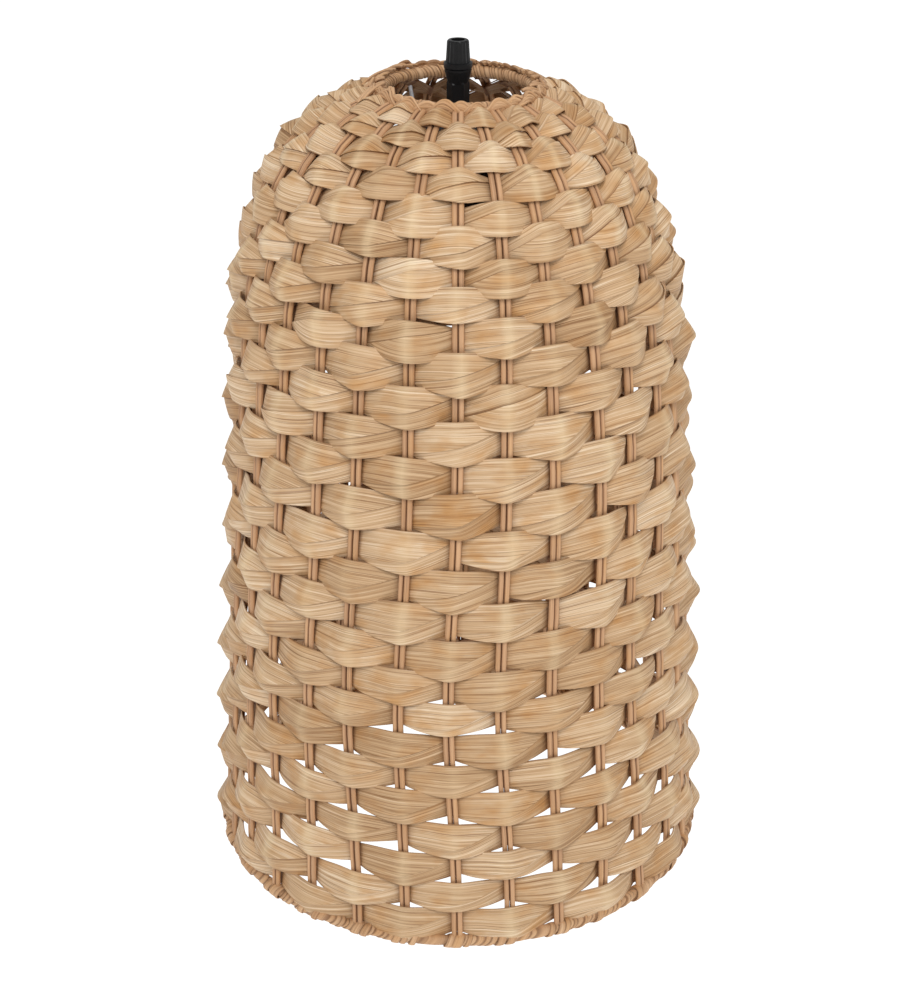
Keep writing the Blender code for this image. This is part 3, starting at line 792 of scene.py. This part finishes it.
def fibre_patterns(nodes, length, width):
    """Four noises stretched along the fibre: fine streaks, coarse streaks, blotches and gaps."""
    place = nodes.new("ShaderNodeUVMap", uv_map="fibre").outputs["UV"]
    fine = nodes.noise(nodes.mapped(place, (1 / length, 1 / width, 1)), detail=4.0, roughness=0.6)
    coarse = nodes.noise(nodes.mapped(place, (0.6 / length, 0.3 / width, 1)), detail=2.0)
    blotch = nodes.noise(nodes.mapped(place, (55, 90, 1)), detail=2.0)
    gaps = nodes.noise(nodes.mapped(place, (0.5 / length, 0.9 / width, 1)), detail=1.0)
    return fine, coarse, blotch, gaps


def fibre_tone(nodes, fine, coarse, lightness):
    """Streaks of tone, lighter or darker by the strip's own lightness."""
    fine_share, coarse_share, lightness_share = 0.55, 0.45, 0.12
    fine = nodes.math("MULTIPLY", fine, fine_share)
    coarse = nodes.math("MULTIPLY", coarse, coarse_share)
    own = nodes.range(lightness, 0, 1, -lightness_share, lightness_share)
    return nodes.math("ADD", nodes.math("ADD", fine, coarse), own)


def ochre_share(nodes, warmth, blotch):
    """How far the colour turns to ochre, in blotches and in the warmer strips."""
    warmth_share, blotch_share, most_ochre = 0.3, 1.6, 0.85
    warmth = nodes.math("MULTIPLY", warmth, warmth_share)
    blotch = nodes.math("MULTIPLY", blotch, blotch_share)
    return nodes.range(nodes.math("ADD", warmth, blotch), 0.90, 1.42, 0.0, most_ochre)


def fibre_material(
    name, tones, line_colour, pale_colour, painted_shade_colour, length, width, line_share, relief
):
    """Plant fibre seen lengthwise: streaks of tone, dark lines between fibres, paler where it bends,
    partly as a painted highlight, and painted shade.

    length and width are the size of one streak.
    """
    most_line, most_pale, most_painted_shade = 0.65, 0.38, 0.78
    ochre_tones = [(0.3, srgb(160, 106, 52)), (0.7, srgb(212, 158, 92))]
    nodes = Nodes(name)
    tint = nodes.new("ShaderNodeAttribute", attribute_name="tint")
    channels = nodes.new("ShaderNodeSeparateColor")
    nodes.link(tint.outputs["Color"], channels.inputs["Color"])
    lightness, warmth, painted_shade = (channels.outputs[key] for key in ("Red", "Green", "Blue"))
    paleness = tint.outputs["Alpha"]

    fine, coarse, blotch, gaps = fibre_patterns(nodes, length, width)
    tone = fibre_tone(nodes, fine, coarse, lightness)
    base = nodes.ramp(tone, tones)
    base = nodes.mix(ochre_share(nodes, warmth, blotch), base, nodes.ramp(tone, ochre_tones))
    line_start = 0.5 - line_share
    lines = nodes.range(gaps, line_start, line_start - 0.12, 0.0, most_line)
    base = nodes.mix(lines, base, line_colour)
    # The pale band, partly a painted highlight.
    base = nodes.mix(nodes.math("MULTIPLY", paleness, most_pale), base, pale_colour)
    # Painted shade: the tint's third channel darkens the colour towards the painted shade colour.
    base = nodes.mix(nodes.math("MULTIPLY", painted_shade, most_painted_shade), base, painted_shade_colour)

    nodes.shade(base, "Base Color")
    nodes.shade(nodes.range(coarse, 0.3, 0.7, 0.5, 0.68), "Roughness")
    nodes.shade(nodes.bump(nodes.math("SUBTRACT", fine, lines), 0.55, relief), "Normal")
    nodes.set(Specular_IOR_Level=0.32)
    return nodes.material


def leaf_material():
    return fibre_material(
        "dried_leaf",
        [
            (0.30, srgb(140, 102, 64)),
            (0.43, srgb(186, 150, 110)),
            (0.54, srgb(208, 175, 137)),
            (0.68, srgb(236, 214, 184)),
        ],
        line_colour=srgb(126, 82, 44),
        pale_colour=srgb(236, 214, 174),
        painted_shade_colour=srgb(116, 68, 34),
        length=0.045,
        width=0.00046,
        line_share=0.07,
        relief=0.0003,
    )


def cane_material():
    return fibre_material(
        "split_cane",
        [(0.3, srgb(140, 94, 64)), (0.5, srgb(184, 138, 102)), (0.7, srgb(210, 166, 126))],
        line_colour=srgb(120, 74, 48),
        pale_colour=srgb(216, 176, 134),
        painted_shade_colour=srgb(104, 60, 36),
        length=0.04,
        width=0.0006,
        line_share=0.07,
        relief=0.0002,
    )


def binding_material():
    return fibre_material(
        "binding_cane",
        [(0.3, srgb(138, 98, 70)), (0.5, srgb(192, 152, 116)), (0.7, srgb(228, 196, 160))],
        line_colour=srgb(112, 68, 40),
        pale_colour=srgb(216, 172, 126),
        painted_shade_colour=srgb(98, 58, 34),
        length=0.03,
        width=0.0006,
        line_share=0.09,
        relief=0.0003,
    )


def surface_material(name, colour, roughness, metallic, grain, relief, contrast=0.12, specular=0.5):
    """A moulded, glazed or metal surface: slight mottling, uneven gloss and a fine relief."""
    nodes = Nodes(name)
    place = nodes.new("ShaderNodeTexCoord").outputs["Object"]
    mottle = nodes.noise(place, scale=grain, detail=4.0)
    darker = tuple(c * (1 - contrast) for c in colour[:3])
    lighter = tuple(min(1.0, c * (1 + contrast) + 0.01 * contrast) for c in colour[:3])
    gloss = nodes.noise(place, scale=grain * 0.3, detail=3.0)
    nodes.shade(nodes.ramp(mottle, [(0.3, darker), (0.7, lighter)]), "Base Color")
    nodes.shade(nodes.range(gloss, 0.3, 0.7, roughness * 0.85, roughness * 1.15), "Roughness")
    nodes.shade(nodes.bump(mottle, 0.3, relief), "Normal")
    nodes.set(Metallic=metallic, Specular_IOR_Level=specular)
    return nodes.material


def black_plastic():
    return surface_material(
        "black_moulded_plastic",
        srgb(19, 19, 20),
        roughness=0.36,
        metallic=0.0,
        grain=900,
        relief=0.00006,
        specular=0.22,
    )


def porcelain():
    return surface_material(
        "glazed_porcelain",
        srgb(232, 228, 218),
        roughness=0.22,
        metallic=0.0,
        grain=300,
        relief=0.00003,
        contrast=0.04,
    )


def brass():
    return surface_material(
        "worn_brass",
        srgb(196, 160, 92),
        roughness=0.34,
        metallic=1.0,
        grain=700,
        relief=0.00003,
    )


def frame_wire():
    return surface_material(
        "zinc_wire",
        srgb(190, 191, 194),
        roughness=0.45,
        metallic=0.35,
        grain=800,
        relief=0.00004,
    )


def paint_cad_nodes():
    """Gives every CAD node that stays in view its finish, in place of the plain one from model.glb."""
    finishes = {
        "black_plastic": black_plastic(),
        "porcelain": porcelain(),
        "brass": brass(),
        "frame_wire": frame_wire(),
    }
    sharp = math.radians(35)
    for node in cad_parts.values():
        place = node.material_slots[0]
        place.material = finishes.get(place.material.name, place.material)
        node.data.shade_smooth()
        node.data.set_sharp_from_angle(angle=sharp)


# ---------------------------------------------------------------- studio


def build_floor():
    """A pale floor far below the hanging shade, wide enough to fill the picture behind it."""
    nodes = Nodes("pale_floor")
    tone = nodes.noise(nodes.new("ShaderNodeTexCoord").outputs["Object"], scale=3.0)
    greys = [(0.3, (0.90, 0.90, 0.90)), (0.7, (0.93, 0.93, 0.93))]
    nodes.shade(nodes.ramp(tone, greys), "Base Color")
    nodes.set(Roughness=0.9, Emission_Color=(1, 1, 1, 1), Emission_Strength=0.64)
    half, z = 400.0, -2.4
    corners = [(x * half, y * half, z) for x, y in ((-1, -1), (1, -1), (1, 1), (-1, 1))]
    mesh = bpy.data.meshes.new("floor")
    mesh.from_pydata(corners, [], [(0, 1, 2, 3)])
    mesh.materials.append(nodes.material)
    floor = bpy.data.objects.new("floor", mesh)
    bpy.context.scene.collection.objects.link(floor)


def add_area_light(name, place, target, size, power):
    data = bpy.data.lights.new(name, "AREA")
    data.shape = "DISK"
    data.size = size
    data.energy = power
    light = bpy.data.objects.new(name, data)
    light.location = place
    light.rotation_euler = (Vector(target) - Vector(place)).to_track_quat("-Z", "Y").to_euler()
    bpy.context.scene.collection.objects.link(light)


def build_lights():
    world = bpy.data.worlds.new("studio")
    world.use_nodes = True
    background = world.node_tree.nodes["Background"]
    background.inputs["Color"].default_value = (1, 1, 1, 1)
    background.inputs["Strength"].default_value = 0.5
    bpy.context.scene.world = world
    middle = (0, 0, -0.22)
    add_area_light("key", (0.0, -1.7, 1.3), middle, size=1.0, power=23)
    add_area_light("fill", (1.6, -1.1, 0.5), middle, size=1.6, power=2)
    add_area_light("top", (0.1, 0.3, 1.7), middle, size=1.4, power=6)


def build_camera():
    bpy.context.scene.view_settings.view_transform = "Standard"
    data = bpy.data.cameras.new("camera")
    data.lens = 72.2
    data.sensor_width = 36.0
    looks_down = 25.7  # degrees
    camera = bpy.data.objects.new("camera", data)
    camera.location = (0.0021, -1.057, 0.2395)
    camera.rotation_euler = (math.radians(90 - looks_down), 0, 0)
    bpy.context.scene.collection.objects.link(camera)
    bpy.context.scene.camera = camera


def main():
    build_camera()
    build_lights()
    build_floor()
    leaf, cane, binding = leaf_material(), cane_material(), binding_material()
    build_rows(leaf)
    build_stakes(cane)
    top_nodes = ["top_ring_wire", "top_rim_binding"]
    bottom_nodes = ["bottom_ring_wire", "bottom_rim_binding"]
    build_wound_ring("top_rim_winding", WALL.length, TOP_WRAP, binding, top_nodes)
    build_wound_ring("bottom_rim_winding", 0.0, BOTTOM_WRAP, binding, bottom_nodes)
    build_top_loops(binding)
    build_top_stubs(binding)
    build_top_tails(binding)
    build_bottom_knots(binding)
    paint_cad_nodes()


main()
